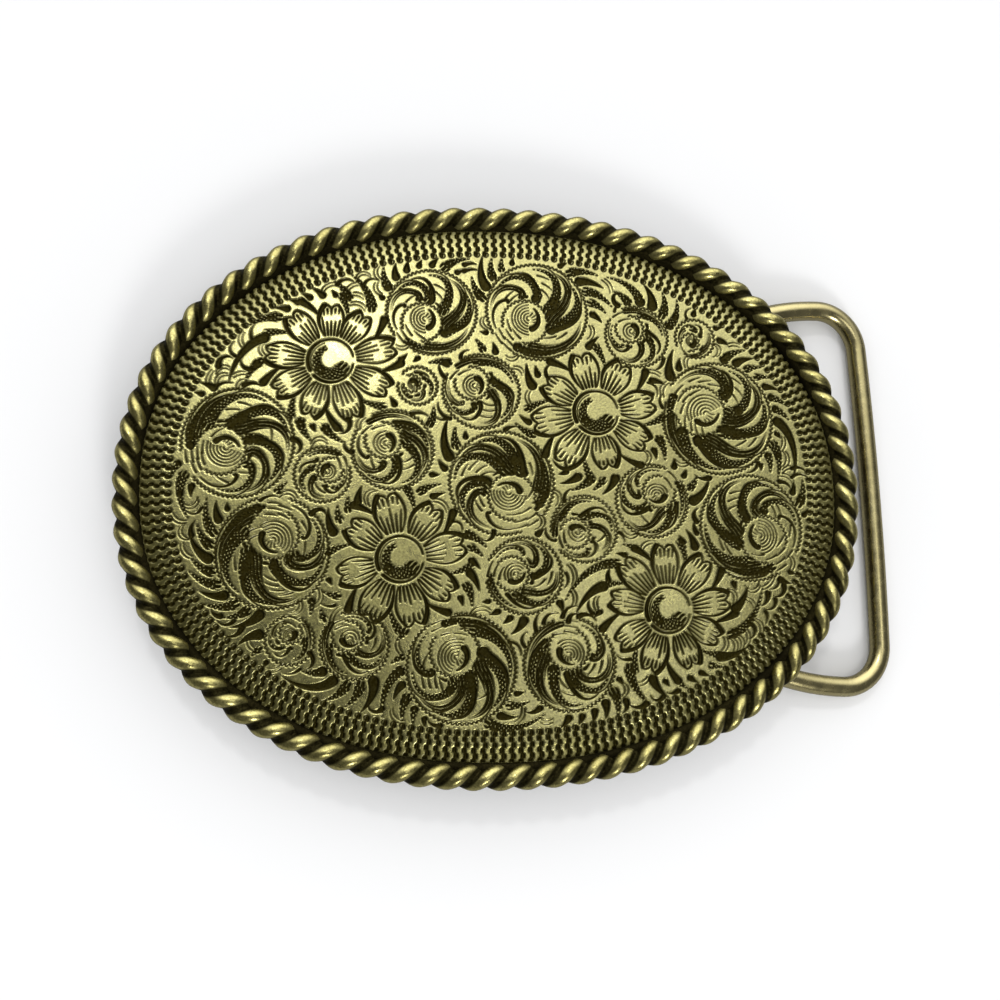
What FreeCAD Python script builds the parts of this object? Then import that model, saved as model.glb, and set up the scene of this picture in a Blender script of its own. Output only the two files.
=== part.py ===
import FreeCAD, Part
import math
import os

# Oval western dress belt buckle, lying on its back. Millimetres.
# Origin: oval centre on the back face of the base plate. +Z is the face normal, towards
# the viewer of a worn buckle; +X points to the belt loop, +Y to the buckle's upper edge.

V = FreeCAD.Vector
OVAL_POWER = 2.158          # a superellipse a little fuller than a true ellipse

# base plate
BASE_A, BASE_B = 41.8, 32.3
BASE_T = 1.0

# rope edge: two strands twisted into a ring, soldered around both plates
ROPE_A, ROPE_B = 43.45, 33.95
ROPE_R = 1.55
ROPE_LAYS = 79              # strand crests around the ring
ROPE_START = -0.48          # twist at the +X end, radians
ROPE_STEPS = 6              # control sections in each lay
ROPE_PATCHES = 6
ROPE_GROOVE = 0.18          # groove depth as a share of the rope radius
ROPE_Z = ROPE_R           # its underside is level with the base plate's back

# face plate: a domed pan standing on the base plate inside the rope
FACE_A, FACE_B = BASE_A, BASE_B
FACE_T = 1.0
DOME_TOP = ROPE_Z + 2.9
DOME_DROP = 2.0             # fall of the field from the centre to the rim
BEVEL_TOP = ROPE_Z + 5.55   # the steeper border band, as a second dome
BEVEL_DROP = 5.1
DOME_DEPTH = 20.0           # half height of the ellipsoids the domes are cut from

# belt loop: one bent brass wire, closed on the hinge side
WIRE_R = 1.25
HINGE_GAP = 0.06            # running clearance around the hinge bar
HINGE_X, HINGE_Z = 30.0, -(WIRE_R + HINGE_GAP)
LOOP_DROOP = 10.0           # degrees below level while the buckle lies on its back
LOOP_SKEW = 0.8             # degrees the hand-bent frame is out of square
LOOP_SIDE = 0.3             # sideways play taken up towards +Y
LOOP_REACH = 19.6           # hinge axis to the middle of the outer bar
LOOP_HALF = 24.4            # outer bar's half height
LOOP_BOW = 0.4              # how far the outer bar bulges
LOOP_CORNER = 5.3
LOOP_FLARE = 2.0            # degrees each leg spreads outwards
LOOP_LEG_BEND = 32.0        # radius each leg curves inwards at, towards the hinge
LOOP_INNER_CORNER = 2.9

# hinge saddle: a strip bent over the loop's hinge bar, riveted down on both sides
SADDLE_T = 1.0
SADDLE_IN = WIRE_R + HINGE_GAP
SADDLE_OUT = SADDLE_IN + SADDLE_T
SADDLE_HALF = 17.6
SADDLE_FLANGE_X = 21.0
SADDLE_TONGUE_X, SADDLE_TONGUE_HALF = 38.2, 11.5
SADDLE_CORNER = 3.5
HINGE_RIVETS = ((24.2, 12.6), (24.2, -12.6), (35.3, 7.5), (35.3, -7.5))

# belt peg and its pad
PEG_X = -31.0
PEG_LEAN = 15.0             # degrees towards the buckle's free end
PEG_R = 2.2
PEG_ROUND = 1.2             # rounding of its free end
COLLAR_R, COLLAR_H = 2.9, 0.95
PEG_DEPTH = 6.0             # lowest point below the base plate's back face
PAD_T = 1.2
PAD_A, PAD_B = 5.2, 9.5
TENON_R = 1.6
PEG_RIVETS = ((PEG_X, 6.6), (PEG_X, -6.6))

# rivets
RIVET_R = 1.1
RIVET_HEAD_R = 1.9
RIVET_HEAD_H = 1.0
RIVET_TAIL_H = 0.4
FIT = 0.01                  # radial clearance of every staked shank


def oval_point(a, b, t):
    c = abs(math.cos(t) / a) ** OVAL_POWER
    s = abs(math.sin(t) / b) ** OVAL_POWER
    r = (c + s) ** (-1.0 / OVAL_POWER)
    return V(r * math.cos(t), r * math.sin(t), 0)


def oval_face(a, b, z):
    curve = Part.BSplineCurve()
    points = [oval_point(a, b, 2 * math.pi * i / 64) for i in range(64)]
    curve.interpolate(Points=points, PeriodicFlag=True)
    face = Part.Face(Part.Wire([curve.toShape()]))
    face.translate(V(0, 0, z))
    return face


def oval_slab(a, b, z0, z1):
    return oval_face(a, b, z0).extrude(V(0, 0, z1 - z0))


def dome(top, drop):
    # Ellipsoid whose top falls by drop at the face plate's rim.
    spread = 1 / math.sqrt(1 - (1 - drop / DOME_DEPTH) ** 2)
    m = FreeCAD.Matrix()
    m.scale(V(FACE_A * spread, FACE_B * spread, DOME_DEPTH))
    body = Part.makeSphere(1.0).transformGeometry(m)
    body.translate(V(0, 0, top - DOME_DEPTH))
    return body


def cylinder(r, h, x, y, z, direction=V(0, 0, 1)):
    return Part.makeCylinder(r, h, V(x, y, z), direction)


def rivet_holes(plate, spots):
    for x, y in spots:
        plate = plate.cut(cylinder(RIVET_R + FIT, 6, x, y, -3))
    return plate


def base_plate():
    plate = oval_slab(BASE_A, BASE_B, 0, BASE_T)
    plate = rivet_holes(plate, HINGE_RIVETS + PEG_RIVETS)
    return plate.cut(cylinder(TENON_R + FIT, 4, PEG_X, 0, -1))


def rope_centre_line():
    # Points at equal steps along the ring, with their outward normals.
    fine = 7900
    points = [oval_point(ROPE_A, ROPE_B, 2 * math.pi * i / fine) for i in range(fine + 1)]
    lengths = [0.0]
    for p, q in zip(points, points[1:]):
        lengths.append(lengths[-1] + p.distanceToPoint(q))
    stations = ROPE_LAYS * ROPE_STEPS
    found = []
    j = 0
    for i in range(stations):
        want = lengths[-1] * i / stations
        while lengths[j + 1] < want:
            j += 1
        p, q = points[j], points[j + 1]
        t = (want - lengths[j]) / (lengths[j + 1] - lengths[j])
        along = (q - p).normalize()
        found.append((p + (q - p) * t, V(along.y, -along.x, 0)))
    return found


def rope_edge():
    # A doubly periodic surface: the two-lobed section turns as it runs round the ring.
    stations = rope_centre_line()
    around = 16
    shrink_turn = (2 + math.cos(2 * math.pi / ROPE_STEPS)) / 3 * (2 + math.cos(4 * math.pi / around)) / 3
    shrink_round = (2 + math.cos(2 * math.pi / around)) / 3
    mean = ROPE_R * (1 - ROPE_GROOVE)
    poles = []
    for i, (centre, out) in enumerate(stations):
        twist = ROPE_START + math.pi * ROPE_LAYS * i / len(stations)
        row = []
        for k in range(around):
            v = 2 * math.pi * k / around
            lobe = ROPE_R * ROPE_GROOVE * math.cos(2 * (v - twist)) / shrink_turn
            r = mean / shrink_round + lobe
            row.append(centre + out * (r * math.cos(v)) + V(0, 0, ROPE_Z + r * math.sin(v)))
        poles.append(row)
    surface = Part.BSplineSurface()
    n = len(poles)
    surface.buildFromPolesMultsKnots(
        poles, [1] * (n + 1), [1] * (around + 1),
        list(range(n + 1)), list(range(around + 1)), True, True, 3, 3)
    # cut into patches, so that each face has four proper edges
    faces = []
    step = n // ROPE_PATCHES
    half = around // 2
    for i in range(ROPE_PATCHES):
        for k in (0, half):
            patch = surface.copy()
            patch.segment(i * step, (i + 1) * step, k, k + half)
            faces.append(patch.toShape())
    shell = Part.Shell(faces)
    shell.sewShape()
    solid = Part.Solid(shell)
    if solid.Volume < 0:
        solid.reverse()
    return solid


def face_plate():
    outer = oval_slab(FACE_A, FACE_B, BASE_T, 12)
    outer = outer.common(dome(DOME_TOP, DOME_DROP))
    outer = outer.common(dome(BEVEL_TOP, BEVEL_DROP))
    inner = oval_slab(FACE_A - FACE_T, FACE_B - FACE_T, 0, 12)
    inner = inner.common(dome(DOME_TOP - FACE_T, DOME_DROP))
    inner = inner.common(dome(BEVEL_TOP - FACE_T, BEVEL_DROP))
    return outer.cut(inner)


def hinge_saddle():
    width = 2 * SADDLE_HALF
    drop = -HINGE_Z
    base = V(HINGE_X, -SADDLE_HALF, HINGE_Z)
    body = Part.makeCylinder(SADDLE_OUT, width, base, V(0, 1, 0))
    walls = Part.makeBox(2 * SADDLE_OUT, width, drop, base - V(SADDLE_OUT, 0, 0))
    above = Part.makeBox(4 * SADDLE_OUT, width, 9, V(HINGE_X - 2 * SADDLE_OUT, -SADDLE_HALF, 0))
    flange = Part.makeBox(HINGE_X - SADDLE_FLANGE_X, width, SADDLE_T,
                          V(SADDLE_FLANGE_X, -SADDLE_HALF, -SADDLE_T))
    tongue = Part.makeBox(SADDLE_TONGUE_X - HINGE_X, 2 * SADDLE_TONGUE_HALF, SADDLE_T,
                          V(HINGE_X, -SADDLE_TONGUE_HALF, -SADDLE_T))
    flange = round_free_corners(flange, SADDLE_FLANGE_X)
    tongue = round_free_corners(tongue, SADDLE_TONGUE_X)
    body = body.fuse([walls, flange, tongue]).cut(above)
    bore = Part.makeCylinder(SADDLE_IN, width + 2, base - V(0, 1, 0), V(0, 1, 0))
    slot = Part.makeBox(2 * SADDLE_IN, width + 2, drop + 1, base - V(SADDLE_IN, 1, 0))
    body = body.cut(bore).cut(slot)
    return rivet_holes(body, HINGE_RIVETS).removeSplitter()


def round_free_corners(box, x):
    ends = [e for e in box.Edges if abs(e.CenterOfMass.x - x) < 1e-6 and e.Length < 2]
    return box.makeFillet(SADDLE_CORNER, ends)


def rivet(x, y, below):
    # Domed head under the plate stack, shank through it, upset tail inside the buckle.
    cap_r = (RIVET_HEAD_R ** 2 + RIVET_HEAD_H ** 2) / (2 * RIVET_HEAD_H)
    head = Part.makeSphere(cap_r, V(x, y, below - RIVET_HEAD_H + cap_r))
    keep = cylinder(RIVET_HEAD_R, RIVET_HEAD_H, x, y, below - RIVET_HEAD_H)
    shank = cylinder(RIVET_R, BASE_T - below, x, y, below)
    tail = Part.makeCone(RIVET_HEAD_R - 0.2, RIVET_R, RIVET_TAIL_H, V(x, y, BASE_T), V(0, 0, 1))
    return head.common(keep).fuse([shank, tail]).removeSplitter()


def hinge_rivets():
    return Part.makeCompound([rivet(x, y, -SADDLE_T) for x, y in HINGE_RIVETS])


def peg_rivets():
    return Part.makeCompound([rivet(x, y, -PAD_T) for x, y in PEG_RIVETS])


def belt_loop():
    # Wire centre line in its own plane: s runs out from the hinge bar, y along it.
    droop = math.radians(LOOP_DROOP)
    corner_y = LOOP_HALF - LOOP_CORNER
    bulge = 2 * math.atan(LOOP_BOW / corner_y)      # the bar's slope where it runs into a corner
    bar_end_y = corner_y + LOOP_CORNER * math.sin(bulge)
    corner_s = LOOP_REACH - bar_end_y * math.tan(bulge / 2) - LOOP_CORNER * math.cos(bulge)

    def place(s, y):
        return V(HINGE_X + s * math.cos(droop), y + LOOP_SIDE, HINGE_Z - s * math.sin(droop))

    def arc(cs, cy, r, a0, a1, side):
        angles = (a0, (a0 + a1) / 2, a1)
        return Part.Arc(*[place(cs + r * math.cos(a), side * (cy + r * math.sin(a))) for a in angles])

    def side_edges(side):
        # Outer corner, leg and inner corner of one side, each tangent to the next.
        skew = math.radians(LOOP_SKEW) * side
        slope = math.radians(LOOP_FLARE) + skew
        cs = corner_s * math.cos(skew) - corner_y * math.sin(skew)
        cy = corner_s * math.sin(skew) + corner_y * math.cos(skew)
        outer = arc(cs, cy, LOOP_CORNER, skew + bulge, math.pi / 2 + slope, side)
        ts = cs - LOOP_CORNER * math.sin(slope)
        ty = cy + LOOP_CORNER * math.cos(slope)
        bend, r = LOOP_LEG_BEND, LOOP_INNER_CORNER
        leg_s = ts + bend * math.sin(slope)
        leg_y = ty - bend * math.cos(slope)
        turn = math.asin((leg_s - r) / (bend - r))
        leg = arc(leg_s, leg_y, bend, math.pi / 2 + slope, math.pi / 2 + turn, side)
        ny = leg_y + (bend - r) * math.cos(turn)
        inner = arc(r, ny, r, math.pi / 2 + turn, math.pi, side)
        return [outer, leg, inner]

    upper = side_edges(1)
    lower = side_edges(-1)
    middle = place(0, 0)
    # the two runs meet at the outer bar's middle, where their directions agree exactly
    turned = math.radians(LOOP_SKEW)
    crown = place(LOOP_REACH * math.cos(turned), LOOP_REACH * math.sin(turned))
    bar = Part.Arc(upper[0].StartPoint, crown, lower[0].StartPoint).toShape()
    first, last = bar.ParameterRange
    turn = bar.Curve.parameter(crown)
    upper_bar = Part.ArcOfCircle(bar.Curve, first, turn)
    lower_bar = Part.ArcOfCircle(bar.Curve, turn, last)
    upper_run = [Part.LineSegment(middle, upper[2].EndPoint)] + upper[::-1] + [upper_bar]
    lower_run = [Part.LineSegment(middle, lower[2].EndPoint)] + lower[::-1] + [lower_bar]
    halves = []
    for run in (upper_run, lower_run):
        path = Part.Wire(Part.__sortEdges__([e.toShape() for e in run]))
        ring = Part.Wire([Part.makeCircle(WIRE_R, middle, V(0, 1, 0))])
        halves.append(path.makePipeShell([ring], True, True))
    return halves[0].fuse(halves[1]).removeSplitter()


def peg_axis():
    lean = math.radians(PEG_LEAN)
    return V(-math.sin(lean), 0, -math.cos(lean))


def peg_pad():
    pad = oval_slab(PAD_A, PAD_B, -PAD_T, 0)
    low = [e for e in pad.Edges if abs(e.BoundBox.ZMin + PAD_T) < 1e-4 and e.BoundBox.ZLength < 1e-3]
    pad = pad.makeFillet(0.45, low)
    pad.translate(V(PEG_X, 0, 0))
    return rivet_holes(pad, PEG_RIVETS).cut(cylinder(TENON_R + FIT, 4, PEG_X, 0, -3))


def belt_peg():
    # Leaning round peg with a collar, staked through the pad and the base plate.
    lean = math.radians(PEG_LEAN)
    axis = peg_axis()
    rim = PEG_R - PEG_ROUND
    rise = (PEG_DEPTH - PAD_T - PEG_ROUND - rim * math.sin(lean)) / math.cos(lean)
    foot = V(PEG_X, 0, -PAD_T)
    rod = Part.makeCylinder(PEG_R, rise + PEG_ROUND + 2, foot - axis * 2, axis)
    rod = rod.makeFillet(PEG_ROUND, [e for e in rod.Edges if e.BoundBox.ZMax < -PAD_T - 1])
    collar = Part.makeCylinder(COLLAR_R, COLLAR_H + 2, foot - axis * 2, axis)
    block = Part.makeBox(20, 20, 20, V(PEG_X - 10, -10, -PAD_T))
    shank = rod.fuse(collar).cut(block)
    tenon = cylinder(TENON_R, BASE_T + PAD_T, PEG_X, 0, -PAD_T)
    tail = Part.makeCone(TENON_R + 0.9, TENON_R, 0.8, V(PEG_X, 0, BASE_T), V(0, 0, 1))
    return shank.fuse([tenon, tail]).removeSplitter()


BUILDERS = {
    "base_plate": base_plate,
    "rope_edge": rope_edge,
    "face_plate": face_plate,
    "hinge_saddle": hinge_saddle,
    "hinge_rivets": hinge_rivets,
    "belt_loop": belt_loop,
    "peg_pad": peg_pad,
    "peg_rivets": peg_rivets,
    "belt_peg": belt_peg,
}

os.makedirs("parts", exist_ok=True)
for node, build in BUILDERS.items():
    shape = build()
    shape.exportStep("parts/" + node + ".step")
    print(node, shape.isValid(), round(shape.Volume, 1), len(shape.Solids), shape.BoundBox)
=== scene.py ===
import math
import bpy
import numpy as np
from mathutils import Matrix, Vector


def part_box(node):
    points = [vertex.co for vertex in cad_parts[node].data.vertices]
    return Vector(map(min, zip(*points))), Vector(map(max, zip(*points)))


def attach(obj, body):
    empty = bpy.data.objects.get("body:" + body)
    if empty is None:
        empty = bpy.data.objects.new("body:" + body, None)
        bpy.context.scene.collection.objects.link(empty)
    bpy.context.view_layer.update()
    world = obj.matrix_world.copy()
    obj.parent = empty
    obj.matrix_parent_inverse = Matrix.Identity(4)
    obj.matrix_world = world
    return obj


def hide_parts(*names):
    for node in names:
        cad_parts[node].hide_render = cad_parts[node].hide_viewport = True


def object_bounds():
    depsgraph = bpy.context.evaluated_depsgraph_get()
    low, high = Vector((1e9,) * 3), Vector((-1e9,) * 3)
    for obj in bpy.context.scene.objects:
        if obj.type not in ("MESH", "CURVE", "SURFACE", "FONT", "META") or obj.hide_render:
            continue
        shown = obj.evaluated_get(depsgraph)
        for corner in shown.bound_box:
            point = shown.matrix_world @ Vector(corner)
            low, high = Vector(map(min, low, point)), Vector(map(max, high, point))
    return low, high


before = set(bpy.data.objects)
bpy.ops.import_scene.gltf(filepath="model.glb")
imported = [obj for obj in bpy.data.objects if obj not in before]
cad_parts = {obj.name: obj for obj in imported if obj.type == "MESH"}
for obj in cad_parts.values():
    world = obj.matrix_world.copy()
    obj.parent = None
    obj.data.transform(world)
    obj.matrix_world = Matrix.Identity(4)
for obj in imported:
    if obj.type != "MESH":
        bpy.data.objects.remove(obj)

# Lengths named here are millimetres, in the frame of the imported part; meshes are made in metres.
MM = 0.001
CAD_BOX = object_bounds()

# The oval plate and its rope, read from the frame.
FACE_LOW, FACE_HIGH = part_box("face_plate")
ROPE_LOW, ROPE_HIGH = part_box("rope_edge")
PLATE_A, PLATE_B = FACE_HIGH.x / MM, FACE_HIGH.y / MM
PLATE_FOOT = FACE_LOW.z / MM
PLATE_TOP = FACE_HIGH.z / MM
ROPE_R = (ROPE_HIGH.z - ROPE_LOW.z) / MM / 2
ROPE_A = ROPE_HIGH.x / MM - ROPE_R
ROPE_B = ROPE_HIGH.y / MM - ROPE_R
ROPE_Z = ROPE_LOW.z / MM + ROPE_R

OVAL_POWER = 2.158          # the plate's outline is a superellipse
DOME_DEPTH = 20.0           # half height of the ellipsoids that shape the plate
FIELD_DROP = 2.0            # fall of the field from its middle to the rim
BEVEL_RISE, BEVEL_DROP = 2.65, 5.1    # the steeper border band, as a second dome
PLATE_WALL = 1.0
FACE_CELLS = 400            # mesh cells from the middle of the plate to its rim
INNER_COARSER = 5           # how many times larger the cells of the hidden inner side are
TINY = 1e-9                 # keeps a division by a length from failing

# Engraving.
CELL = 0.07                 # raster pitch the tool marks are cut on
GROOVE_SLOPE = 1.1          # wall slope of a cut
STRETCH = 12                # points of a long stroke that are cut at a time
DEEPEST, LIGHT, FINE = 0.26, 0.2, 0.16    # depths of the main cuts, the edge lines and the fine arcs
BORDER_COLUMNS = 212
BORDER_LENGTH = 2.7
BEAD_PITCH = 0.5
BORDER_GAP = 0.55           # plain strip between the rope and the border's marks
HATCH, STREAK = 0.52, 0.40  # pitches of the crosshatched and the streaked shading
# What shading leaves standing in a cut: its height as a share of the cut, its steepness and its smallness.
HATCH_DOTS = (0.97, 3.4, 0.45)
STREAK_LINES = (0.9, 2.0, 0.7)
PEARL_PITCH, PEARL_SWING = 0.55, 0.13     # the pearled lines around each scroll
SEED = 11


# ---------------------------------------------------------------- oval and domes

def oval_radius(t, a, b):
    c = np.abs(np.cos(t) / a) ** OVAL_POWER
    s = np.abs(np.sin(t) / b) ** OVAL_POWER
    return (c + s) ** (-1.0 / OVAL_POWER)


def oval_norm(x, y, a, b):
    return (np.abs(x / a) ** OVAL_POWER + np.abs(y / b) ** OVAL_POWER) ** (1 / OVAL_POWER)


def dome_height(x, y, top, drop):
    spread = 1 / math.sqrt(1 - (1 - drop / DOME_DEPTH) ** 2)
    q = (x / (PLATE_A * spread)) ** 2 + (y / (PLATE_B * spread)) ** 2
    return top - DOME_DEPTH * (1 - np.sqrt(np.maximum(1 - q, 0)))


def plate_height(x, y, lower=0.0):
    field = dome_height(x, y, PLATE_TOP - lower, FIELD_DROP)
    bevel = dome_height(x, y, PLATE_TOP + BEVEL_RISE - lower, BEVEL_DROP)
    return np.minimum(field, bevel)


def run_lengths(points):
    """Distance along a line of points, from its start to each of them."""
    return np.concatenate([[0], np.cumsum(np.hypot(*np.diff(points, axis=0).T))])


def at_length(at, along, points):
    return np.stack([np.interp(at, along, points[:, k]) for k in (0, 1)], -1)


def oval_path(a, b, count):
    """Points around the oval, and the distance run to each of them."""
    t = np.linspace(0, 2 * np.pi, count)
    r = oval_radius(t, a, b)
    points = np.stack([r * np.cos(t), r * np.sin(t)], -1)
    return points, run_lengths(points)


# ---------------------------------------------------------------- the graver

def left_standing(wave, shape):
    """Share of a cut that shading leaves standing, where the wave is high."""
    rise, sharp, apart = shape
    return rise * np.clip(wave * sharp - apart, 0, 1)


class Graver:
    """Cuts strokes into a raster of depths that covers the plate."""

    def __init__(self):
        self.nx = int(2 * PLATE_A / CELL) + 3
        self.ny = int(2 * PLATE_B / CELL) + 3
        self.x = -PLATE_A + CELL * (np.arange(self.nx) - 1)
        self.y = -PLATE_B + CELL * (np.arange(self.ny) - 1)
        self.depth = np.zeros((self.ny, self.nx))

    def cut(self, points, start, end, deepest=DEEPEST, texture=None):
        """One stroke whose width runs from start to end. Long strokes are cut in stretches."""
        points = np.asarray(points, float)
        along = run_lengths(points)
        share = along / max(along[-1], TINY)
        half = (start + (end - start) * share) / 2
        for i in range(0, len(points) - 1, STRETCH):
            j = min(i + STRETCH, len(points) - 1)
            self._stretch(points[i:j + 1], half[i:j + 1], along[i:j + 1], deepest, texture)

    def _stretch(self, points, half, along, deepest, texture):
        reach = half.max() + CELL
        low, high = points.min(0) - reach, points.max(0) + reach
        i0, i1 = np.searchsorted(self.x, (low[0], high[0]))
        j0, j1 = np.searchsorted(self.y, (low[1], high[1]))
        if i1 <= i0 or j1 <= j0:
            return
        gx, gy = np.meshgrid(self.x[i0:i1], self.y[j0:j1])
        best = np.full(gx.shape, -np.inf)
        run = np.zeros(gx.shape)
        side = np.zeros(gx.shape)
        for k in range(len(points) - 1):
            p, d = points[k], points[k + 1] - points[k]
            size = max(math.hypot(*d), TINY)
            t = np.clip(((gx - p[0]) * d[0] + (gy - p[1]) * d[1]) / size ** 2, 0, 1)
            away = np.hypot(gx - p[0] - t * d[0], gy - p[1] - t * d[1])
            inside = half[k] + (half[k + 1] - half[k]) * t - away
            better = inside > best
            best = np.where(better, inside, best)
            run = np.where(better, along[k] + t * size, run)
            across = ((gx - p[0]) * d[1] - (gy - p[1]) * d[0]) / size
            side = np.where(better, across, side)
        cut = np.clip(best * GROOVE_SLOPE, 0, deepest)
        if texture == "hatch":
            dots = np.cos(2 * np.pi * run / HATCH) * np.cos(2 * np.pi * side / HATCH)
            cut = cut * (1 - left_standing(dots, HATCH_DOTS))
        elif texture == "streak":
            lines = np.cos(2 * np.pi * side / STREAK)
            cut = cut * (1 - left_standing(lines, STREAK_LINES))
        window = self.depth[j0:j1, i0:i1]
        np.maximum(window, cut, out=window)

    def is_bare(self, x, y, around):
        """Whether there is no cut in the square that reaches that far around x, y."""
        reach = int(around / CELL)
        i, j = int((x - self.x[0]) / CELL), int((y - self.y[0]) / CELL)
        window = self.depth[max(j - reach, 0):j + reach + 1, max(i - reach, 0):i + reach + 1]
        return window.max() <= 0

    def sample(self, x, y):
        u = np.clip((x - self.x[0]) / CELL, 0, self.nx - 1.001)
        v = np.clip((y - self.y[0]) / CELL, 0, self.ny - 1.001)
        i, j = u.astype(int), v.astype(int)
        u, v = u - i, v - j
        d = self.depth
        low = d[j, i] * (1 - u) + d[j, i + 1] * u
        high = d[j + 1, i] * (1 - u) + d[j + 1, i + 1] * u
        return low * (1 - v) + high * v


def polar(centre, r, angle):
    return np.stack([centre[0] + r * np.cos(angle), centre[1] + r * np.sin(angle)], -1)


def wavy(points):
    """The same line, swung from side to side like a pearled edge."""
    along = run_lengths(points)
    per_wave = 6
    count = max(int(along[-1] / PEARL_PITCH * per_wave), per_wave)
    at = np.linspace(0, along[-1], count)
    line = at_length(at, along, points)
    d = np.gradient(line, axis=0)
    d /= np.maximum(np.hypot(d[:, 0], d[:, 1]), TINY)[:, None]
    normal = np.stack([-d[:, 1], d[:, 0]], -1)
    return line + normal * (PEARL_SWING * np.sin(2 * np.pi * at / PEARL_PITCH))[:, None]


# ---------------------------------------------------------------- layout of the motifs

FLOWERS = 4
FLOWER_PLACES = (0.44, 0.74)    # the flowers' distances from the middle, in turn, as shares of the field
FLOWER_SIZE = 7.9
SCROLLS = 15
SCROLL_SPREAD = 0.9         # share of the field that the scrolls start out spread over
SCROLL_SIZE = 6.8
SMALLEST, LARGEST = 4.2, 8.6
FILLER = 2.7                # smallest scroll that is set into a gap
PUSHES, PUSH = 900, 0.25    # rounds in which scrolls are pushed apart, and how far each round
SURVEY = 0.4                # pitch at which the field is searched for bare places
BARE = 0.43                 # half width of a patch that counts as bare
PLAIN = 0.36                # the same for the fine shading inside the scrolls
ROWED = 0.5                 # share of the bare patches that get a row of fine cuts
BORDER_WIDTH = BORDER_GAP + BORDER_LENGTH + 0.5


def layout():
    """Circles for the motifs: flowers a quarter turn apart, scrolls packed around them."""
    a, b = PLATE_A - BORDER_WIDTH, PLATE_B - BORDER_WIDTH
    spots, sizes = [], []
    for k in range(FLOWERS):
        turn = math.pi / 4 + k * math.pi / 2
        out = FLOWER_PLACES[k % 2]
        spots.append((a * out * math.cos(turn), b * out * math.sin(turn)))
        sizes.append(FLOWER_SIZE)
    golden = math.pi * (3 - math.sqrt(5))
    for k in range(SCROLLS):
        out = math.sqrt((k + 0.5) / SCROLLS)
        x = a * SCROLL_SPREAD * out * math.cos(k * golden)
        y = b * SCROLL_SPREAD * out * math.sin(k * golden)
        spots.append((x, y))
        sizes.append(SCROLL_SIZE)
    p, r = np.array(spots), np.array(sizes)
    for step in range(PUSHES):
        for i in range(FLOWERS, len(p)):
            d = p[i] - p
            gap = np.hypot(d[:, 0], d[:, 1])
            gap[i] = np.inf
            push = np.clip(r[i] + r - gap, 0, None) / np.maximum(gap, 0.1)
            p[i] += PUSH * (d * push[:, None]).sum(0)
            over = oval_norm(p[i, 0], p[i, 1], a - r[i], b - r[i])
            if over > 1:
                p[i] /= over
    for sweep in range(3):
        for i in range(FLOWERS, len(p)):
            gap = np.hypot(*(p[i] - p).T)
            gap[i] = np.inf
            room = (gap - r).min()
            low, high = 0.0, LARGEST
            for halving in range(12):
                middle = (low + high) / 2
                fits = oval_norm(p[i, 0], p[i, 1], a - middle, b - middle) <= 1
                low, high = (middle, high) if fits else (low, middle)
            r[i] = np.clip(min(room, low), SMALLEST, LARGEST)
    return fill_gaps(p, r, a, b)


def fill_gaps(p, r, a, b):
    """Sets a smaller circle into each gap that is large enough, the widest gap first."""
    x, y = [v.ravel() for v in np.meshgrid(np.arange(-a, a, SURVEY), np.arange(-b, b, SURVEY))]
    room = (1 - oval_norm(x, y, a, b)) * b
    for spot, size in zip(p, r):
        room = np.minimum(room, np.hypot(x - spot[0], y - spot[1]) - size)
    while room.max() > FILLER:
        best = int(np.argmax(room))
        size = room[best] - 0.1
        p = np.vstack([p, (x[best], y[best])])
        r = np.append(r, size)
        room = np.minimum(room, np.hypot(x - x[best], y - y[best]) - size)
    return p, r


# ---------------------------------------------------------------- motifs

RING_INSET = 0.3            # a scroll's ring lies this far inside its circle
HEAD_SIZE, HEAD_OUT = 0.45, 0.33      # a scroll's head: radius and distance out, as shares of the ring
ARC_PITCH = 0.44            # pitch of the arcs in the head
LEAVES_PER_MM = 1.85        # leaves in a scroll, for each millimetre of its ring's radius
LEAF_KINDS = ("hatch", None, "streak", "hatch", None, "hatch", "streak")
SHADED_LEAF, PLAIN_LEAF = 0.29, 0.17  # leaf widths as shares of the ring
EDGE_WIDTH = 0.34           # widest part of the line along a shaded leaf
FLOWER_CORE = 0.34          # a flower's centre as a share of the flower
RAYS = 5                    # fine lines at each end of a petal


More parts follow.
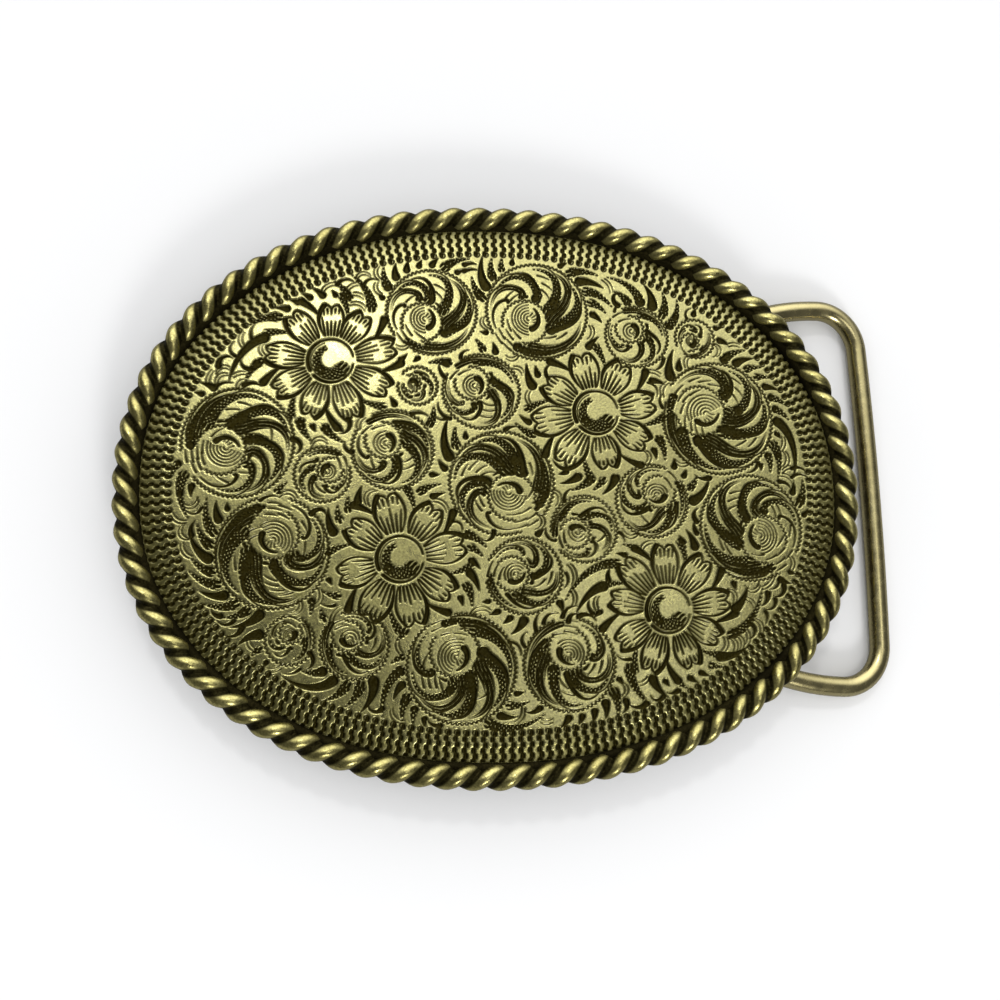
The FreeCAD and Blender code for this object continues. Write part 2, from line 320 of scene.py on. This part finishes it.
def scroll(tool, centre, size, turn, hand, draw):
    """A ringed scroll: off-centre arced head, with comma leaves swirling in around it."""
    ring = size - RING_INSET
    pearls = turn + hand * np.linspace(0.25, 6.0, 60)
    tool.cut(wavy(polar(centre, np.full(60, ring), pearls)), 0.27, 0.27)
    head_r = HEAD_SIZE * ring
    head = polar(centre, HEAD_OUT * ring, turn)
    pearls = turn + hand * np.linspace(0.5, 5.6, 40)
    tool.cut(wavy(polar(head, np.full(40, head_r), pearls)), 0.26, 0.26)

    # the head: nested arcs about an eye, a broad curl and four ticks
    eye = head - 0.25 * head_r * np.array([math.cos(turn), math.sin(turn)])
    arcs = max(int(head_r * 0.95 / ARC_PITCH), 3)
    for k in range(arcs):
        r = 0.3 + (head_r * 0.98 - 0.55) * k / arcs
        span = turn + hand * np.linspace(-0.5 - 0.05 * k, 2.3, 18)
        tool.cut(polar(eye, r, span), 0.25, 0.2, FINE)
    curl = turn + hand * np.linspace(2.9, 4.7, 12)
    tool.cut(polar(head, np.linspace(0.75, 0.42, 12) * head_r, curl), 0.3, 0.85)
    for k in range(4):
        a = turn + hand * (3.0 + 0.3 * k)
        tool.cut([polar(head, 0.55 * head_r, a), polar(head, 0.36 * head_r, a)], 0.24, 0.2, FINE)

    # main leaves: each starts along the ring and hooks in towards the head
    leaves = int(round(ring * LEAVES_PER_MM))
    start = turn + hand * 0.35
    for k in range(leaves):
        share = k / leaves
        a0 = start + hand * (5.1 * share + draw.uniform(-0.05, 0.05))
        room = 0.42 + 0.58 * math.sin(math.pi * share)
        kind = LEAF_KINDS[(k + int(10 * size)) % len(LEAF_KINDS)]
        sweep = hand * draw.uniform(1.15, 1.4) * (1.0 if kind else 0.72)
        s = np.linspace(0, 1, 16)
        angle = a0 + sweep * s
        toward = head - polar(centre, ring, a0 + sweep)
        toward = toward / max(np.hypot(*toward), TINY)
        tip = head - toward * (head_r + (0.6 if kind else 0.45))
        reach = np.hypot(*(tip - centre))
        outer = ring - 0.62
        line = polar(centre, outer + (reach - outer) * s ** 2.6, angle)
        pull = (s ** 4)[:, None]
        line = line * (1 - pull) + tip * pull
        wide = (SHADED_LEAF if kind else PLAIN_LEAF) * ring * room
        tool.cut(line, 0.22, max(wide, 0.5), DEEPEST, kind)
        if kind:
            edge = line + (line - centre) * 0.10
            tool.cut(edge[:13], 0.2, EDGE_WIDTH, LIGHT)
    # short cuts that close the leaves against the head
    for k in range(3):
        a = turn + hand * (2.2 + 0.9 * k + draw.uniform(-0.1, 0.1))
        tool.cut(polar(head, head_r + 0.55, a + hand * np.linspace(0, 0.28, 5)), 0.25, 0.5)


def flower(tool, centre, size, petals, draw):
    """An open flower: a broad centre with a shaded crescent, rayed petals and leaves between them."""
    core = FLOWER_CORE * size
    tool.cut(polar(centre, core, np.linspace(0.2, 3.6, 30)), 0.28, 0.6)
    tool.cut(polar(centre, core, np.linspace(3.9, 6.1, 20)), 0.55, 0.28)
    tool.cut(polar(centre, 0.62 * core, np.linspace(2.0, 5.6, 24)), 0.7, 1.9, DEEPEST, "hatch")
    tool.cut(polar(centre, 0.86 * core, np.linspace(1.9, 5.9, 28)), 0.22, 0.34)
    for k in range(petals):
        a = 2 * math.pi * (k + 0.3) / petals + draw.uniform(-0.05, 0.05)
        half = math.pi / petals * 0.86
        length = size * draw.uniform(0.88, 1.0)
        base = core * 1.2
        s = np.linspace(0, 1, 14)
        for side in (-1, 1):
            spread = side * half * np.sin(np.pi * np.clip(0.3 + 0.6 * s, 0, 1)) ** 0.8
            line = polar(centre, base + (length - base) * s, a + spread)
            tool.cut(line, 0.26, 0.74 if side > 0 else 0.42)
            tip = np.linspace(0.9, 0.0, 6)
            notch = length * (1.0 - 0.08 * (1 - tip / 0.9) ** 2)
            tool.cut(polar(centre, notch, a + side * half * 0.36 * tip), 0.4, 0.3)
        for j in range(RAYS):
            b = a + half * 0.72 * (2 * j / (RAYS - 1) - 1)
            far = base + (length - base) * draw.uniform(0.34, 0.62)
            tool.cut([polar(centre, base, b), polar(centre, far, b * 0.96 + a * 0.04)], 0.38, 0.24)
            near = base + (length - base) * draw.uniform(0.66, 0.76)
            b = a + half * 0.5 * (2 * j / (RAYS - 1) - 1)
            tool.cut([polar(centre, length * 0.93, b), polar(centre, near, b)], 0.36, 0.22)
        between = a + math.pi / petals
        bend = 0.10 * np.linspace(-1, 1, 8)
        tool.cut(polar(centre, size * np.linspace(0.74, 1.05, 8), between + bend), 0.3, 1.1,
                 DEEPEST, "hatch" if k % 2 else None)


def gap_leaves(tool, spots, sizes):
    """Small leaves that reach out of each ring into the room between the motifs."""
    a, b = PLATE_A - BORDER_WIDTH + 0.2, PLATE_B - BORDER_WIDTH + 0.2
    taken = []
    for i, (centre, size) in enumerate(zip(spots, sizes)):
        hand = 1 if i % 2 else -1
        count = int(2 * math.pi * size / 1.45)
        for k in range(count):
            angle = 2 * math.pi * k / count
            reach = np.linspace(0.45, 4.6, 30)
            line = polar(centre, size + reach, angle + hand * 0.36 * (reach / 3.0) ** 1.4)
            free = oval_norm(line[:, 0], line[:, 1], a, b) < 1
            for j in range(len(spots)):
                if j != i:
                    free &= np.hypot(*(line - spots[j]).T) > sizes[j] + 0.4
            for other, half in taken:
                free &= np.hypot(*(line - other).T) > half + 0.5
            stop = len(free) if free.all() else int(np.argmin(free))
            if stop < 5:
                continue
            line = line[:stop]
            wide = min(0.5 + 0.055 * stop, 1.4)
            texture = "hatch" if wide > 0.95 and k % 3 else None
            tool.cut(line[::-1], 0.2, wide, DEEPEST, texture)
            taken.extend((p, wide / 2) for p in line[::3])


def bare_marks(tool, spots, sizes, draw):
    """Small comma cuts wherever a patch of the field is still bare."""
    a, b = PLATE_A - BORDER_WIDTH + 0.1, PLATE_B - BORDER_WIDTH + 0.1
    for y in np.arange(-b, b, SURVEY):
        for x in np.arange(-a, a, SURVEY):
            if oval_norm(x, y, a, b) > 0.99:
                continue
            away = np.hypot(spots[:, 0] - x, spots[:, 1] - y) / sizes
            near = int(np.argmin(away))
            if near < FLOWERS and away[near] < 1 or away[near] < 0.2:
                continue
            if not tool.is_bare(x, y, BARE):
                continue
            around = math.atan2(y - spots[near, 1], x - spots[near, 0]) + math.pi / 2
            around += draw.uniform(0.0, 0.9)
            reach_out = draw.uniform(0.7, 1.3)
            s = np.linspace(-reach_out, reach_out, 7)
            bend = around + draw.uniform(0.25, 0.6) * s
            rows = (-0.21, 0.21) if draw.uniform() < ROWED else (0.0,)
            for row in rows:
                across = np.array([-math.sin(around), math.cos(around)]) * row
                line = np.stack([x + across[0] + s * np.cos(bend),
                                 y + across[1] + s * np.sin(bend)], -1)
                tool.cut(line, 0.18, 0.26 if len(rows) > 1 else draw.uniform(0.42, 0.9))


def shade_scrolls(tool, spots, sizes):
    """Fine curved lines that shade the metal still plain between the leaves of each scroll."""
    for centre, size in zip(spots[FLOWERS:], sizes[FLOWERS:]):
        for r in np.arange(0.3, 0.93, 0.34 / size) * size:
            steps = max(int(2 * math.pi * r / 0.35), 6)
            for k in range(steps):
                angle = 2 * math.pi * k / steps
                x, y = polar(centre, r, angle)
                if not tool.is_bare(x, y, PLAIN):
                    continue
                run = np.linspace(-0.75, 0.75, 7) / r
                tool.cut(polar(centre, r + 0.5 * run * size / r, angle + run), 0.2, 0.3, LIGHT)


def border(tool):
    """Columns of small linked cuts, standing on the rope and ending in a ring."""
    edge, along = oval_path(PLATE_A, PLATE_B, 8001)
    beads = int(BORDER_LENGTH / BEAD_PITCH)
    for k in range(BORDER_COLUMNS):
        at = along[-1] * k / BORDER_COLUMNS
        foot, ahead = at_length(at, along, edge), at_length(at + 0.1, along, edge)
        d = (ahead - foot) / max(np.hypot(*(ahead - foot)), TINY)
        inward = np.array([-d[1], d[0]])
        start, end = foot + inward * 0.1, foot + inward * (BORDER_GAP + BORDER_LENGTH)
        tool.cut([start, end], 0.42, 0.26, LIGHT)
        for j in range(beads + 1):
            middle = start + (end - start) * j / beads
            swing = d * (0.13 if j % 2 else -0.13)
            half = inward * 0.12
            tool.cut([middle + swing - half, middle + swing + half], 0.6, 0.6, 0.24)
        tool.cut(polar(end + inward * 0.12, 0.3, np.linspace(0, 2 * np.pi, 10)), 0.26, 0.26, LIGHT)


def engrave():
    tool = Graver()
    draw = np.random.default_rng(SEED)
    spots, sizes = layout()
    for i, (centre, size) in enumerate(zip(spots, sizes)):
        if i < FLOWERS:
            flower(tool, centre, size, 9 if i % 2 else 8, draw)
        else:
            turn = draw.uniform(0, 2 * math.pi)
            scroll(tool, centre, size, turn, 1 if i % 2 else -1, draw)
    gap_leaves(tool, spots, sizes)
    shade_scrolls(tool, spots, sizes)
    bare_marks(tool, spots, sizes, draw)
    border(tool)
    return tool


# ---------------------------------------------------------------- meshes

def mesh_piece(name, points, faces, body, node, material):
    mesh = bpy.data.meshes.new(name)
    mesh.from_pydata((points * MM).tolist(), [], faces)
    mesh.polygons.foreach_set("use_smooth", [True] * len(mesh.polygons))
    mesh.update()
    piece = bpy.data.objects.new(name, mesh)
    bpy.context.scene.collection.objects.link(piece)
    mesh.materials.append(material)
    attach(piece, body)
    if node:
        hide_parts(node)
    return piece


def point_values(piece, name, values):
    attribute = piece.data.attributes.new(name, "FLOAT", "POINT")
    attribute.data.foreach_set("value", values.astype(np.float32))


def disc_grid(n):
    """Square grid of 2n by 2n cells, bent so that its outline lies on the unit circle."""
    u, v = np.meshgrid(np.linspace(-1, 1, 2 * n + 1), np.linspace(-1, 1, 2 * n + 1))
    wide = np.abs(u) >= np.abs(v)
    rho = np.where(wide, u, v)
    with np.errstate(divide="ignore", invalid="ignore"):
        angle = np.where(wide, np.pi / 4 * v / u, np.pi / 2 - np.pi / 4 * u / v)
    angle = np.nan_to_num(angle)
    side = 2 * n + 1
    index = np.arange(side * side).reshape(side, side)
    quads = np.stack([index[:-1, :-1], index[:-1, 1:], index[1:, 1:], index[1:, :-1]], -1).reshape(-1, 4)
    rim = np.concatenate([index[0, :-1], index[:-1, -1], index[-1, :0:-1], index[:0:-1, 0]])
    return (rho * np.cos(angle)).ravel(), (rho * np.sin(angle)).ravel(), quads, rim


def oval_sheet(n, a, b):
    dx, dy, quads, rim = disc_grid(n)
    rho = np.hypot(dx, dy)
    t = np.arctan2(b * dy, a * dx)
    r = oval_radius(t, a, b) * rho
    return r * np.cos(t), r * np.sin(t), quads, rim


FULLY_DARK = 0.085          # depth from which a cut is filled with patina
RIM_START, RIM_WIDTH, RIM_SHADE = 0.94, 0.06, 0.75     # the rim's band of painted shade next to the rope: its place and its strength


def face_piece(material):
    tool = engrave()
    n = FACE_CELLS
    x, y, quads, rim = oval_sheet(n, PLATE_A, PLATE_B)
    depth = tool.sample(x, y)
    depth[rim] = 0
    z = plate_height(x, y) - depth
    outer = np.stack([x, y, z], -1)

    a, b = PLATE_A - PLATE_WALL, PLATE_B - PLATE_WALL
    xi, yi, inner_quads, inner_rim = oval_sheet(n // INNER_COARSER, a, b)
    inner = np.stack([xi, yi, plate_height(xi, yi, PLATE_WALL)], -1)
    inner[inner_rim, 2] = np.maximum(inner[inner_rim, 2], PLATE_FOOT)

    foot = outer[rim] * (1, 1, 0) + (0, 0, PLATE_FOOT)
    base_out, base_in = len(outer), len(outer) + len(foot)
    inner_foot = inner[inner_rim] * (1, 1, 0) + (0, 0, PLATE_FOOT)
    base_inner_foot = base_in + len(inner)
    points = np.concatenate([outer, foot, inner, inner_foot])
    faces = quads.tolist()
    faces += (inner_quads[:, ::-1] + base_in).tolist()
    count, small = len(rim), len(inner_rim)
    for i in range(count):
        j = (i + 1) % count
        faces.append((rim[j], rim[i], base_out + i, base_out + j))
    for i in range(small):
        j = (i + 1) % small
        faces.append((base_in + inner_rim[i], base_in + inner_rim[j],
                      base_inner_foot + j, base_inner_foot + i))
        step = count // small
        outside = [base_out + (i * step + k) % count for k in range(step + 1)]
        faces.append(tuple([base_inner_foot + i, base_inner_foot + j] + outside[::-1]))
    piece = mesh_piece("engraved_face", points, faces, "buckle", "face_plate", material)
    # the 'cut' attribute: patina in the cuts, plus painted shade that darkens the rim towards the rope
    near_rim = np.clip((oval_norm(x, y, PLATE_A, PLATE_B) - RIM_START) / RIM_WIDTH, 0, 1)
    dark = np.zeros(len(points))
    dark[:len(outer)] = np.maximum(np.clip(depth / FULLY_DARK, 0, 1), RIM_SHADE * near_rim)
    point_values(piece, "cut", dark)
    return piece


def ring_faces(count, around):
    """Quads of a tube closed on itself: count rings of around points each."""
    i, k = np.meshgrid(np.arange(count), np.arange(around), indexing="ij")
    i2, k2 = (i + 1) % count, (k + 1) % around
    faces = np.stack([i * around + k, i2 * around + k, i2 * around + k2, i * around + k2], -1)
    return faces.reshape(-1, 4).tolist()


# The rope has as many strand crests as the CAD rope, starting at the same twist.
ROPE_LAYS = 79
ROPE_START = -0.48          # radians
STRAND_OFFSET = 0.32        # strand centre from the rope's centre, as a share of its radius
GROOVE_START, GROOVE_FADE = 0.90, 0.10    # share of the rope's radius below which patina starts, and its fade


def rope_piece(material):
    per_lay, around = 24, 44
    count = ROPE_LAYS * per_lay
    path, along = oval_path(ROPE_A, ROPE_B, 16001)
    centre = at_length(along[-1] * np.arange(count) / count, along, path)
    d = np.roll(centre, -1, 0) - np.roll(centre, 1, 0)
    d /= np.hypot(d[:, 0], d[:, 1])[:, None]
    out = np.stack([d[:, 1], -d[:, 0]], -1)
    v = 2 * np.pi * np.arange(around) / around
    twist = ROPE_START + math.pi * ROPE_LAYS * np.arange(count) / count
    alpha = v[None, :] - twist[:, None]
    e, a = STRAND_OFFSET, 1 - STRAND_OFFSET
    lobe = e * np.abs(np.cos(alpha)) + np.sqrt(a * a - (e * np.sin(alpha)) ** 2)
    radius = ROPE_R * lobe
    flat = radius * np.cos(v)
    x = centre[:, None, 0] + out[:, None, 0] * flat
    y = centre[:, None, 1] + out[:, None, 1] * flat
    z = ROPE_Z + radius * np.sin(v)
    points = np.stack([x, y, z], -1).reshape(-1, 3)
    piece = mesh_piece("twisted_rope", points, ring_faces(count, around), "buckle", "rope_edge",
                       material)
    groove = np.clip((GROOVE_START - lobe) / GROOVE_FADE, 0, 1)
    # painted shade: the rope's inner flank, in the corner against the plate, is darkened; the grooves between
    # strands get patina
    inner_flank_shade = np.clip(-np.cos(v) * 2.0 - 1.2, 0, 1)[None, :] * np.ones((count, 1))
    point_values(piece, "cut", np.maximum(groove, 0.85 * inner_flank_shade).ravel())
    return piece


SEAM_R = 0.95               # tube of solder that fills the corner between rope and plate
SEAM_IN, SEAM_DOWN = 1.0, 0.35    # how far its middle lies inside and below the rope's


def seam_piece(material):
    count, around = 720, 20
    t = 2 * np.pi * np.arange(count) / count
    r = oval_radius(t, ROPE_A - SEAM_IN, ROPE_B - SEAM_IN)
    v = 2 * np.pi * np.arange(around) / around
    uneven = 1 + 0.05 * np.sin(17 * t) * np.cos(29 * t)
    tube = SEAM_R * uneven[:, None]
    flat = r[:, None] + tube * np.cos(v)
    z = ROPE_Z - SEAM_DOWN + tube * np.sin(v)
    points = np.stack([flat * np.cos(t)[:, None], flat * np.sin(t)[:, None], z], -1).reshape(-1, 3)
    return mesh_piece("solder_seam", points, ring_faces(count, around), "buckle", None,
                      material)


# ---------------------------------------------------------------- materials

PATCHES, SMUDGES, GRAIN = 170, 900, 3900      # noise scales of tone, roughness and surface grain
GRAIN_DEPTH = 0.00003       # metres
GRAIN_SHADE, PATINA_SHADE = 0.55, 0.15        # tones of the grain and the patina's grain, of the worn tone
CUT_ROUGHER = 0.3           # how much rougher a cut is than the metal around it
LACQUER_ROUGH, LACQUER_IOR = 0.24, 1.75


def brass(name, bright, worn, rough, patina=None, grain=1.0, lacquer=0.1):
    """Aged brass: two metal tones in soft patches, fine grain, and dark patina where it is cut; the same dark
    tone is painted shade where the 'cut' attribute carries shade.
    """
    material = bpy.data.materials.new(name)
    material.use_nodes = True
    nodes, links = material.node_tree.nodes, material.node_tree.links
    surface = nodes["Principled BSDF"]
    where = nodes.new("ShaderNodeTexCoord").outputs["Object"]

    def noise(scale, detail):
        made = nodes.new("ShaderNodeTexNoise")
        made.inputs["Scale"].default_value = scale
        made.inputs["Detail"].default_value = detail
        links.new(where, made.inputs["Vector"])
        return made.outputs["Fac"]

    def spread(value, low, high):
        made = nodes.new("ShaderNodeMapRange")
        made.inputs["From Min"].default_value = 0.3
        made.inputs["From Max"].default_value = 0.7
        made.inputs["To Min"].default_value = low
        made.inputs["To Max"].default_value = high
        links.new(value, made.inputs["Value"])
        return made.outputs["Result"]

    def mix(share, first, second):
        made = nodes.new("ShaderNodeMix")
        made.data_type = "RGBA"
        links.new(share, made.inputs["Factor"])
        for socket, value in (("A", first), ("B", second)):
            target = [s for s in made.inputs if s.name == socket and s.type == "RGBA"][0]
            if isinstance(value, tuple):
                target.default_value = value + (1,)
            else:
                links.new(value, target)
        return [s for s in made.outputs if s.type == "RGBA"][0]

    colour = mix(spread(noise(PATCHES, 3), 0.0, 1.0), bright, worn)
    fine = noise(GRAIN, 3)
    colour = mix(spread(fine, 0.0, 0.85 * grain), colour, tuple(GRAIN_SHADE * c for c in worn))
    roughness = spread(noise(SMUDGES, 4), rough - 0.05, rough + 0.07)
    if patina:
        cut = nodes.new("ShaderNodeAttribute")
        cut.attribute_name = "cut"
        # the patina tone, which also serves as painted shade at the plate's rim and the rope's inner flank
        patina_and_shade_tone = mix(spread(fine, 0.0, 0.5), patina, tuple(PATINA_SHADE * c for c in worn))
        colour = mix(cut.outputs["Fac"], colour, patina_and_shade_tone)
        add = nodes.new("ShaderNodeMath")
        add.operation = "MULTIPLY_ADD"
        add.inputs[1].default_value = CUT_ROUGHER
        links.new(cut.outputs["Fac"], add.inputs[0])
        links.new(roughness, add.inputs[2])
        roughness = add.outputs["Value"]
        coat = nodes.new("ShaderNodeMath")
        coat.operation = "MULTIPLY_ADD"
        coat.inputs[1].default_value = -lacquer
        coat.inputs[2].default_value = lacquer
        links.new(cut.outputs["Fac"], coat.inputs[0])
        links.new(coat.outputs["Value"], surface.inputs["Coat Weight"])
    bump = nodes.new("ShaderNodeBump")
    bump.inputs["Strength"].default_value = 0.75 * min(grain, 1.3)
    bump.inputs["Distance"].default_value = GRAIN_DEPTH
    links.new(fine, bump.inputs["Height"])
    links.new(bump.outputs["Normal"], surface.inputs["Normal"])
    links.new(colour, surface.inputs["Base Color"])
    links.new(roughness, surface.inputs["Roughness"])
    surface.inputs["Metallic"].default_value = 1.0
    surface.inputs["Coat Weight"].default_value = lacquer
    surface.inputs["Coat Roughness"].default_value = LACQUER_ROUGH
    surface.inputs["Coat IOR"].default_value = LACQUER_IOR
    return material


def dress_cad_nodes():
    """The wire loop and the parts behind the plate keep their CAD shapes."""
    wire = brass("wire_brass", (0.64, 0.56, 0.27), (0.55, 0.47, 0.21), 0.24, grain=0.22, lacquer=0.3)
    back = brass("back_brass", (0.42, 0.34, 0.16), (0.26, 0.20, 0.09), 0.44, grain=2.0)
    rivet = brass("rivet_brass", (0.52, 0.42, 0.20), (0.38, 0.29, 0.13), 0.34)
    finish = {
        "belt_loop": wire, "base_plate": back, "hinge_saddle": back, "peg_pad": back,
        "belt_peg": wire, "hinge_rivets": rivet, "peg_rivets": rivet,
    }
    for name, material in finish.items():
        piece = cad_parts[name]
        piece.data.materials.clear()
        piece.data.materials.append(material)


# ---------------------------------------------------------------- stage, light and camera

# The camera stands over the plate, a little towards its lower left.
CAMERA_AZIMUTH, CAMERA_ELEVATION, CAMERA_ROLL = -35.1, 77.3, 34.7
CAMERA_AIM = (0.3, -1.4)
CAMERA_DISTANCE = 162.2
CAMERA_LENS, SENSOR = 48.76, 36.0
FLOOR_HALF = 4.0            # metres
FLOOR_BELOW = 0.00002       # metres under the buckle's lowest point, so that the two don't coincide

# Lamps: distance, width and power, in metres and watts. The first two are mirrored by the plate at a
# chosen point, in millimetres or as shares of its half axes. The third stands low on the -Y side.
LAMP_DISTANCE = 0.9
SOFT_BOX_AT, SOFT_BOX_SIZE, SOFT_BOX_POWER = (11.0, -19.0), 0.36, 0.55
HIGHLIGHT_SHARE, HIGHLIGHT_SIZE, HIGHLIGHT_POWER = (-0.49, 0.56), 0.10, 0.80
LOW_STRIP_SIDE, LOW_STRIP_SIZE, LOW_STRIP_POWER = (0.18, -0.80, 0.57), 0.20, 2.2


def camera_back():
    a, e = math.radians(CAMERA_AZIMUTH), math.radians(CAMERA_ELEVATION)
    return Vector((math.sin(a) * math.cos(e), -math.cos(a) * math.cos(e), math.sin(e)))


def camera_place():
    aim = Vector((CAMERA_AIM[0], CAMERA_AIM[1], ROPE_Z))
    return (aim + camera_back() * CAMERA_DISTANCE) * MM


def make_camera():
    data = bpy.data.cameras.new("camera")
    data.lens, data.sensor_width = CAMERA_LENS, SENSOR
    data.clip_start, data.clip_end = 0.01, 10
    camera = bpy.data.objects.new("camera", data)
    bpy.context.scene.collection.objects.link(camera)
    back = camera_back()
    a = math.radians(CAMERA_AZIMUTH)
    level = Vector((math.cos(a), math.sin(a), 0))
    up = back.cross(level)
    roll = math.radians(CAMERA_ROLL)
    right = level * math.cos(roll) + up * math.sin(roll)
    axes = Matrix((right, back.cross(right), back)).transposed()
    camera.matrix_world = Matrix.Translation(camera_place()) @ axes.to_4x4()
    bpy.context.scene.camera = camera


def mirror_direction(x, y):
    """Where the plate at x, y sends the camera's line of sight."""
    step = 0.5
    slope_x = (plate_height(x + step, y) - plate_height(x - step, y)) / (2 * step)
    slope_y = (plate_height(x, y + step) - plate_height(x, y - step)) / (2 * step)
    normal = Vector((-slope_x, -slope_y, 1)).normalized()
    spot = Vector((x, y, float(plate_height(x, y)))) * MM
    sight = (camera_place() - spot).normalized()
    return spot, normal * 2 * sight.dot(normal) - sight


def area_light(name, spot, direction, size, power):
    data = bpy.data.lights.new(name, "AREA")
    data.shape, data.size, data.energy = "DISK", size, power
    lamp = bpy.data.objects.new(name, data)
    bpy.context.scene.collection.objects.link(lamp)
    lamp.location = spot + direction * LAMP_DISTANCE
    lamp.rotation_mode = "QUATERNION"
    lamp.rotation_quaternion = direction.to_track_quat("Z", "Y")


def make_light():
    spot, direction = mirror_direction(*SOFT_BOX_AT)
    area_light("soft_box", spot, direction, SOFT_BOX_SIZE, SOFT_BOX_POWER)
    spot, direction = mirror_direction(PLATE_A * HIGHLIGHT_SHARE[0], PLATE_B * HIGHLIGHT_SHARE[1])
    area_light("highlight", spot, direction, HIGHLIGHT_SIZE, HIGHLIGHT_POWER)
    low = Vector(LOW_STRIP_SIDE).normalized()
    area_light("low_strip", Vector((0, 0, 0)), low, LOW_STRIP_SIZE, LOW_STRIP_POWER)
    make_world()


# How bright the studio is: what the floor sees, what the camera sees, and what the metal mirrors.
FLOOR_SKY = 0.88
BACKDROP = 0.80
PAPER, PAPER_MIRRORED = 0.88, 0.30    # the floor as the camera sees it, and as the metal mirrors it
METAL_DARK, METAL_BRIGHT = 0.085, 2.15
BRIGHT_SIDE, BRIGHT_EDGE = (0.10, 0.80, 0.59), 0.58   # the metal's brightest sky, and where that fades out
SKY_TINT = (0.985, 0.99, 1.0, 1)


def make_world():
    world = bpy.data.worlds.new("studio")
    bpy.context.scene.world = world
    world.use_nodes = True
    nodes, links = world.node_tree.nodes, world.node_tree.links
    path = nodes.new("ShaderNodeLightPath")

    def choose(share, first, second):
        made = nodes.new("ShaderNodeMix")
        made.data_type = "FLOAT"
        links.new(share, made.inputs["Factor"])
        for socket, value in zip([s for s in made.inputs if s.type == "VALUE"][1:], (first, second)):
            if isinstance(value, float):
                socket.default_value = value
            else:
                links.new(value, socket)
        return made.outputs[0]

    side = nodes.new("ShaderNodeVectorMath")
    side.operation = "DOT_PRODUCT"
    links.new(nodes.new("ShaderNodeTexCoord").outputs["Generated"], side.inputs[0])
    side.inputs[1].default_value = BRIGHT_SIDE
    reach = nodes.new("ShaderNodeMapRange")
    reach.interpolation_type = "SMOOTHSTEP"
    reach.inputs["From Min"].default_value = BRIGHT_EDGE
    reach.inputs["From Max"].default_value = 1.0
    reach.inputs["To Min"].default_value = METAL_DARK
    reach.inputs["To Max"].default_value = METAL_BRIGHT
    links.new(side.outputs["Value"], reach.inputs["Value"])
    level = choose(path.outputs["Is Glossy Ray"], FLOOR_SKY, reach.outputs["Result"])
    level = choose(path.outputs["Is Camera Ray"], level, BACKDROP)
    nodes["Background"].inputs["Color"].default_value = SKY_TINT
    links.new(level, nodes["Background"].inputs["Strength"])


def make_floor():
    z = CAD_BOX[0].z - FLOOR_BELOW
    mesh = bpy.data.meshes.new("floor")
    corners = [(-FLOOR_HALF, -FLOOR_HALF, z), (FLOOR_HALF, -FLOOR_HALF, z),
               (FLOOR_HALF, FLOOR_HALF, z), (-FLOOR_HALF, FLOOR_HALF, z)]
    mesh.from_pydata(corners, [], [(0, 1, 2, 3)])
    floor = bpy.data.objects.new("floor", mesh)
    bpy.context.scene.collection.objects.link(floor)
    paper = bpy.data.materials.new("paper")
    paper.use_nodes = True
    surface = paper.node_tree.nodes["Principled BSDF"]
    links = paper.node_tree.links
    path = paper.node_tree.nodes.new("ShaderNodeLightPath")
    tone = paper.node_tree.nodes.new("ShaderNodeMapRange")
    tone.inputs["To Min"].default_value = PAPER
    tone.inputs["To Max"].default_value = PAPER_MIRRORED
    links.new(path.outputs["Is Glossy Ray"], tone.inputs["Value"])
    links.new(tone.outputs["Result"], surface.inputs["Base Color"])
    surface.inputs["Roughness"].default_value = 0.9
    mesh.materials.append(paper)


bpy.context.scene.view_settings.view_transform = "Standard"
engraved = brass("engraved_brass", (0.56, 0.52, 0.18), (0.43, 0.39, 0.125), 0.28, (0.022, 0.016, 0.0012),
                 lacquer=0.65)
rope_metal = brass("rope_brass", (0.74, 0.67, 0.26), (0.50, 0.44, 0.15), 0.29, (0.008, 0.006, 0.002))
face_piece(engraved)
rope_piece(rope_metal)
# near-black solder: partly the joint's own dark colour, partly painted shade in the corner between rope and
# plate
solder = brass("solder_and_crevice_shade", (0.030, 0.025, 0.008), (0.012, 0.010, 0.004), 0.6, lacquer=0.0)
seam_piece(solder)
dress_cad_nodes()
make_floor()
make_light()
make_camera()
